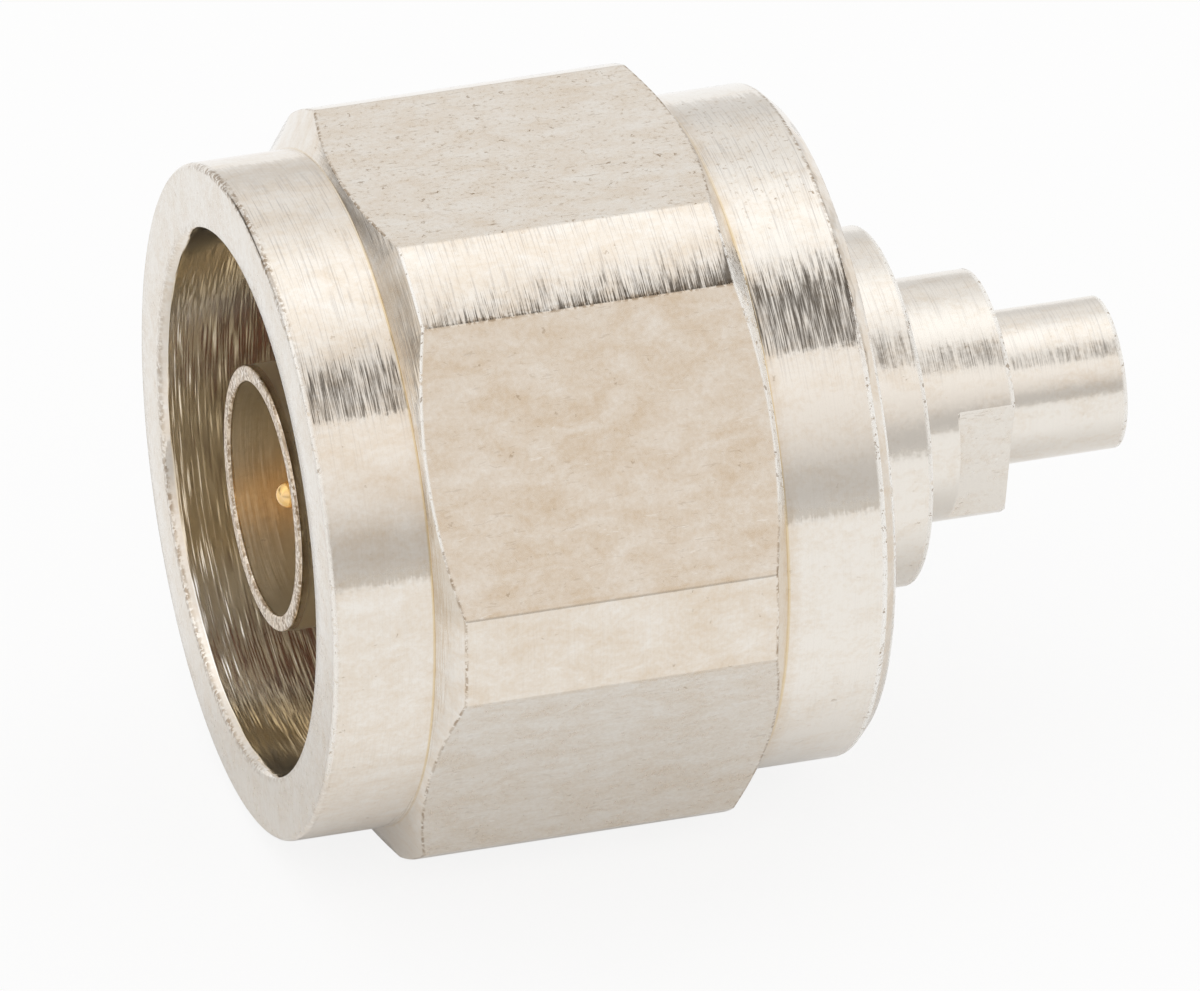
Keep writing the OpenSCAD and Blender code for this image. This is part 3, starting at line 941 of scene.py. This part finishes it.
class PLUG_OT_shell(bpy.types.Operator):
    """Turn the shell: outer contact, hub, flange and grooved neck"""
    bl_idname = "plug.shell"
    bl_label = "Shell"

    def execute(self, context):
        s = context.scene.plug_shell
        front, end = SHELL_LOW.x, SHELL_HIGH.x
        gasket_front, gasket_end = GASKET_LOW.x, GASKET_HIGH.x
        shell = turned("turned_shell", stepped(
            front, s.tube_radius, gasket_front, s.hub_radius, gasket_end, s.flange_radius,
            gasket_end + s.flange_length, s.neck_radius, s.groove_start, s.groove_radius,
            s.groove_end, s.neck_radius, end, s.tapped_radius, s.tapped_start, s.wide_radius,
            s.step, s.bore_radius, front,
        ), s.sides)

        def outward(edge):
            middle = middle_of(edge)
            at_end = min(abs(middle.x - front), abs(middle.x - end)) < SAME_PLACE
            return at_end or abs(reach(middle) - s.flange_radius) < WELD

        round_edges(shell, s.edge, 3, 30, outward)
        smooth(shell, 12)
        plate = Surface("shell_plate")
        masks = self.masks(plate, s, front / MM, end / MM)
        colours = context.scene.plug_finish
        dress(shell, nickel_plate(plate, colours, masks, 0.06, 0.6, (0.8, 0.20), 0.09, 0.13))
        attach(shell, "plug_body")
        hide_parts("shell")
        return {"FINISHED"}

    def masks(self, s, sizes, front, end):
        """Where the shell is milled, burred, grimy and dull, where its burred rear rim gets a painted
        highlight, and how its light leans.
        """
        in_bore = s.within(sizes.bore_radius / MM + 0.02, 0.06) * s.behind(front, 0.2)
        in_nut = s.behind(front + 0.1, 0.3) * s.before(end - 5.0, 1.0)
        return {
            "flat": s.before(front + 0.01, 0.02), "edge": s.ring(end, sizes.neck_radius / MM, 0.08, 0.18),
            "grime": s.graph.drop(abs(s.x - front), 0.02, 0.16), "film": s.before(front + 0.1, 0.1) * 0.8,
            "bore": s.graph.most(in_bore, in_nut), "lean": s.behind(end - 1.6, 0.1) * -0.04,
        }


class PLUG_OT_cable_sleeve(bpy.types.Operator):
    """Turn the cable sleeve and mill its wrench flats"""
    bl_idname = "plug.cable_sleeve"
    bl_label = "Cable Sleeve"

    def execute(self, context):
        s = context.scene.plug_sleeve
        front, end = SLEEVE_LOW.x, SLEEVE_HIGH.x
        sleeve = turned("turned_cable_sleeve", stepped(
            front, s.nose_radius, s.thread_start, s.thread_radius, s.thread_end, s.barrel_radius,
            s.barrel_end, s.tube_radius, end, s.cable_radius, s.hollow_end, s.hollow_radius, front,
        ), s.sides)
        for side in (-1, 1):
            cut(sleeve, self.end_mill(s, side))

        def outward(edge):
            middle = middle_of(edge)
            lengthwise = abs(edge.verts[0].co.x - edge.verts[1].co.x) > 0.5 * MM
            outside = middle.x > s.thread_end + TOUCH and reach(middle) > s.tube_radius + TOUCH
            return outside and not lengthwise

        def at_tail(edge):
            return all(abs(vertex.co.x - end) < SAME_PLACE for vertex in edge.verts)

        round_edges(sleeve, s.mill_edge, 2, 20, outward)
        round_edges(sleeve, s.edge, 3, 30, at_tail)
        smooth(sleeve, 12)
        plate = Surface("sleeve_plate")
        masks = self.masks(plate, s, end / MM)
        colours = context.scene.plug_finish
        dress(sleeve, nickel_plate(plate, colours, masks, 0.06, 0.6, (1.0, 0.2), 0.09, 0.15))
        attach(sleeve, "plug_body")
        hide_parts("cable_sleeve")
        return {"FINISHED"}

    def end_mill(self, s, side):
        """The block that is milled away over one wrench flat."""
        over = 0.5 * MM
        depth = s.barrel_radius
        select_none()
        bpy.ops.mesh.primitive_cube_add(size=1)
        block = bpy.context.object
        block.name = "end_mill"
        block.dimensions = (s.flat_length + over, depth, 4 * s.barrel_radius)
        block.location = (s.barrel_end + (over - s.flat_length) / 2, side * (s.flat_width + depth) / 2, 0)
        bpy.ops.object.transform_apply()
        block.rotation_euler.x = s.flat_turn
        bpy.ops.object.transform_apply()
        return block

    def masks(self, s, sizes, end):
        """Where the sleeve is milled, burred and bored, where its burred rims get a painted highlight, and
        how its light leans.
        """
        g = s.graph
        barrel, barrel_end = sizes.barrel_radius / MM, sizes.barrel_end / MM
        half = sizes.flat_width / 2 / MM
        milled = g.fade(abs(s.facing(-math.degrees(sizes.flat_turn))), half - 0.015, half - 0.005)
        on_barrel = (s.x - sizes.thread_end / MM) * 0.010 - 0.06
        on_tube = (s.x - barrel_end) * 0.006 - 0.06
        tube_only = s.behind(barrel_end, 0.02)
        rim = s.ring(barrel_end, barrel, 0.08, 0.18)
        return {
            "flat": milled * s.within(barrel - 0.05, 0.04),
            "edge": g.most(rim, s.ring(end, sizes.tube_radius / MM, 0.08, 0.18)),
            "bore": s.within(sizes.cable_radius / MM + 0.02, 0.04),
            "lean": on_barrel * (1.0 - tube_only) + on_tube * tube_only,
        }


class PLUG_OT_centre_contact(bpy.types.Operator):
    """Turn the gold centre contact and drill it for the conductor"""
    bl_idname = "plug.centre_contact"
    bl_label = "Centre Contact"

    def execute(self, context):
        c = context.scene.plug_core
        tip, end = CONTACT_LOW.x, CONTACT_HIGH.x
        insulator_front = INSULATOR_LOW.x
        nose = arc((tip + c.nose_radius, 0), c.nose_radius, math.pi, math.pi / 2, 16)
        solder_end = end - c.solder_depth
        outline = nose + stepped(
            tip + c.nose_radius + c.taper_length, c.pin_radius, c.shoulder_start, c.shoulder_radius,
            insulator_front, c.stem_radius, end, c.solder_radius, solder_end,
        ) + [(solder_end, 0)]
        contact = turned("gilt_centre_contact", outline, c.sides, closed=False)
        select_none()
        bpy.ops.mesh.primitive_cylinder_add(
            vertices=48, radius=c.sight_radius, depth=2 * c.stem_radius,
            location=(end - c.sight_inset, 0, c.stem_radius),
        )
        cut(contact, bpy.context.object)
        round_edges(contact, c.contact_edge, 2, 40, lambda edge: edge.verts[0].co.x < insulator_front)
        smooth(contact, 30)
        dress(contact, gold_plate(context.scene.plug_finish))
        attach(contact, "plug_body")
        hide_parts("centre_contact")
        return {"FINISHED"}


class PLUG_OT_insulator(bpy.types.Operator):
    """Turn the stepped white insulator"""
    bl_idname = "plug.insulator"
    bl_label = "Insulator"

    def execute(self, context):
        c = context.scene.plug_core
        front, end = INSULATOR_LOW.x, INSULATOR_HIGH.x
        insulator = turned("white_insulator", stepped(
            front, c.insulator_radius, c.insulator_step, c.insulator_rear_radius, end, c.stem_radius, front,
        ), c.sides)
        outer = (c.stem_radius + c.insulator_radius) / 2
        round_edges(insulator, c.insulator_edge, 2, 40, lambda edge: reach(edge.verts[0].co) > outer)
        smooth(insulator, 30)
        dress(insulator, fluoropolymer_finish(context.scene.plug_finish))
        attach(insulator, "plug_body")
        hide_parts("insulator")
        return {"FINISHED"}


class PLUG_OT_gasket(bpy.types.Operator):
    """Mould the gasket ring with rounded edges"""
    bl_idname = "plug.gasket"
    bl_label = "Gasket"

    def execute(self, context):
        c = context.scene.plug_core
        front, end = GASKET_LOW.x, GASKET_HIGH.x
        outline = stepped(front, c.gasket_outer, end, c.gasket_inner, front)
        gasket = turned("moulded_gasket", outline, c.sides)
        outer = (c.gasket_inner + c.gasket_outer) / 2
        round_edges(gasket, c.gasket_edge, 4, 40, lambda edge: reach(edge.verts[0].co) > outer)
        smooth(gasket, 50)
        dress(gasket, silicone_finish(context.scene.plug_finish))
        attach(gasket, "plug_body")
        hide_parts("gasket")
        return {"FINISHED"}


class PLUG_OT_retaining_ring(bpy.types.Operator):
    """Finish the split ring, whose own solid stays"""
    bl_idname = "plug.retaining_ring"
    bl_label = "Retaining Ring"

    def execute(self, context):
        dress(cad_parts["retaining_ring"], bronze_finish(context.scene.plug_finish))
        return {"FINISHED"}


class PLUG_OT_stage(bpy.types.Operator):
    """Set the floor, the light tent and the camera"""
    bl_idname = "plug.stage"
    bl_label = "Stage"

    def execute(self, context):
        studio = context.scene.plug_studio
        self.floor(studio)
        self.surroundings(context.scene, studio)
        self.camera(context.scene, studio)
        context.scene.view_settings.view_transform = "Standard"
        return {"FINISHED"}

    def floor(self, studio):
        """A wide white floor with a greyer apron in front, under a clean white for the camera."""
        select_none()
        bpy.ops.mesh.primitive_plane_add(size=studio.floor_size)
        floor = bpy.context.object
        floor.name = "studio_floor"
        with editing(floor):
            bpy.ops.transform.translate(value=(0, 0, CAD_BOX[0].z))
        material = bpy.data.materials.new("white_floor")
        g = Graph(material)
        here = g.add("TexCoord", None, None, "Object")
        y = g.add("SeparateXYZ", None, {0: here}, "Y")
        x = y.beside("X")
        apron = g.drop(y, -studio.apron * 1.4, -studio.apron * 0.6)
        rays = g.add("LightPath", None, None, "Is Camera Ray")
        gloss = g.most(rays.beside("Is Glossy Ray"), rays.beside("Is Transmission Ray"))
        # What the metal reflects: a painted shadow under the plug, where less glow lets the paper's own
        # shadow show, and painted light, more glow, to its sides, behind it and past it.
        glow_with_painted_shadow = 0.15 + g.fade(abs(y), 0.003, 0.015) * 0.72
        glow_with_painted_shadow = glow_with_painted_shadow + g.fade(y, 0.01, 0.025) * 0.1 + g.fade(x, 0.011, 0.016) * 0.07
        white = g.most(rays * studio.floor_white, gloss * glow_with_painted_shadow * (1.0 - apron * 0.8))
        shade = g.mix(apron, (0.92, 0.925, 0.93), (0.62, 0.60, 0.57))
        paper = g.add("BsdfDiffuse", None, {"Color": shade})
        light = g.add("Emission", None, {"Color": (1.0, 1.0, 1.0, 1.0), "Strength": 1.0})
        both = g.add("MixShader", None, {0: white, 1: paper, 2: light})
        g.add("OutputMaterial", None, {"Surface": both})
        dress(floor, material)

    def surroundings(self, scene, studio):
        """A light tent all round: its brightness by the angle round the plug's axis, and its gaps."""
        world = bpy.data.worlds.new("light_tent")
        scene.world = world
        g = Graph(world)
        direction = g.add("TexCoord", None, None, "Generated")
        x = g.add("SeparateXYZ", None, {0: direction}, "X")
        height = g.math("ARCTAN2", x.beside("Z"), -x.beside("Y")) * (180 / math.pi)
        lean = g.math("ARCSINE", x) * (180 / math.pi)
        stops = [((a + 180) / 360, (v, v * warm, v * warm * warm)) for a, v, warm in TENT]
        tent = g.add("ValToRGB", {"stops": stops}, {0: (height + 180.0) / 360.0}, "Color")
        # A wedge between two leaning edges above the cable's side, and the round gaps.
        low = 53.0 + g.most(lean - 25.0, 0.0) * 1.5
        high = 60.0 + lean * 1.05
        wedge = g.fade(height - low, -0.7, 0.7) * g.drop(height - high, -8.0, 8.0)
        dark = wedge * g.fade(lean, 3.0, 25.0) * 0.86
        for towards, widest, narrowest, depth in GAPS:
            middle = Vector(towards).normalized()
            cosine = g.vectors("DOT_PRODUCT", direction, middle, output="Value")
            dark = g.most(dark, g.fade(cosine, widest, narrowest) * depth)
        shown = g.tint(dark, tent, (0.03, 0.015, 0.0))
        background = g.add(
            "Background", None, {"Color": shown, "Strength": studio.tent_strength}
        )
        g.add("OutputWorld", None, {"Surface": background})

    def camera(self, scene, studio):
        data = bpy.data.cameras.new("camera")
        data.lens = studio.lens
        data.sensor_width = 36
        data.clip_start = 0.05
        data.clip_end = 20
        camera = bpy.data.objects.new("camera", data)
        scene.collection.objects.link(camera)
        a, e = studio.azimuth, studio.elevation
        back = Vector((math.sin(a) * math.cos(e), -math.cos(a) * math.cos(e), math.sin(e)))
        aim = Vector((studio.aim_x, studio.aim_y, studio.aim_z))
        facing = back.to_track_quat("Z", "Y").to_matrix().to_4x4()
        camera.matrix_world = Matrix.Translation(aim + back * studio.distance) @ facing
        scene.camera = camera


# Round gaps in the tent: the way to their middle, two cosines between which they fade, how dark.
GAPS = [((-0.66, 0.75, 0.03), 0.955, 0.992, 0.85), ((-0.95, 0.28, -0.10), 0.93, 0.99, 0.45)]


# The light tent: degrees round the plug's axis (0 in front, 90 above), brightness and warmth.
TENT = [
    (-180, 0.80, 0.99), (-1, 0.68, 0.98), (5, 0.62, 0.975), (12, 0.65, 0.97), (18, 0.78, 0.965),
    (25, 0.90, 0.965), (33, 0.97, 0.97), (42, 1.04, 0.975), (52, 1.05, 0.98), (72, 0.98, 0.99),
    (82, 1.12, 0.99), (95, 1.23, 1.0), (105, 1.25, 1.0), (114, 1.20, 1.0), (124, 1.06, 1.0),
    (134, 0.94, 0.995), (148, 0.92, 0.99), (165, 0.78, 0.99), (173, 0.79, 0.99), (180, 0.88, 1.0),
]


class PLUG_PT_pieces(bpy.types.Panel):
    """Lists the plug's pieces"""
    bl_idname = "PLUG_PT_pieces"
    bl_label = "Plug"
    bl_space_type = "VIEW_3D"
    bl_region_type = "UI"
    bl_category = "Plug"

    def draw(self, context):
        for operator in OPERATORS:
            self.layout.operator(operator.bl_idname)


GROUPS = {
    "plug_nut": NutSizes, "plug_shell": ShellSizes, "plug_sleeve": SleeveSizes,
    "plug_core": CoreSizes, "plug_finish": Finish, "plug_studio": Studio,
}
OPERATORS = [
    PLUG_OT_stage, PLUG_OT_coupling_nut, PLUG_OT_shell, PLUG_OT_cable_sleeve, PLUG_OT_centre_contact,
    PLUG_OT_insulator, PLUG_OT_gasket, PLUG_OT_retaining_ring,
]


def register():
    for group in GROUPS.values():
        bpy.utils.register_class(group)
    for operator in OPERATORS:
        bpy.utils.register_class(operator)
    bpy.utils.register_class(PLUG_PT_pieces)
    for name, group in GROUPS.items():
        setattr(bpy.types.Scene, name, bpy.props.PointerProperty(type=group))


def unregister():
    for name in GROUPS:
        delattr(bpy.types.Scene, name)
    bpy.utils.unregister_class(PLUG_PT_pieces)
    for operator in reversed(OPERATORS):
        bpy.utils.unregister_class(operator)
    for group in reversed(GROUPS.values()):
        bpy.utils.unregister_class(group)


def main():
    """Builds the stage and every piece."""
    register()
    bpy.ops.plug.stage()
    bpy.ops.plug.coupling_nut()
    bpy.ops.plug.shell()
    bpy.ops.plug.cable_sleeve()
    bpy.ops.plug.centre_contact()
    bpy.ops.plug.insulator()
    bpy.ops.plug.gasket()
    bpy.ops.plug.retaining_ring()
    select_none()


if __name__ == "__main__":
    main()
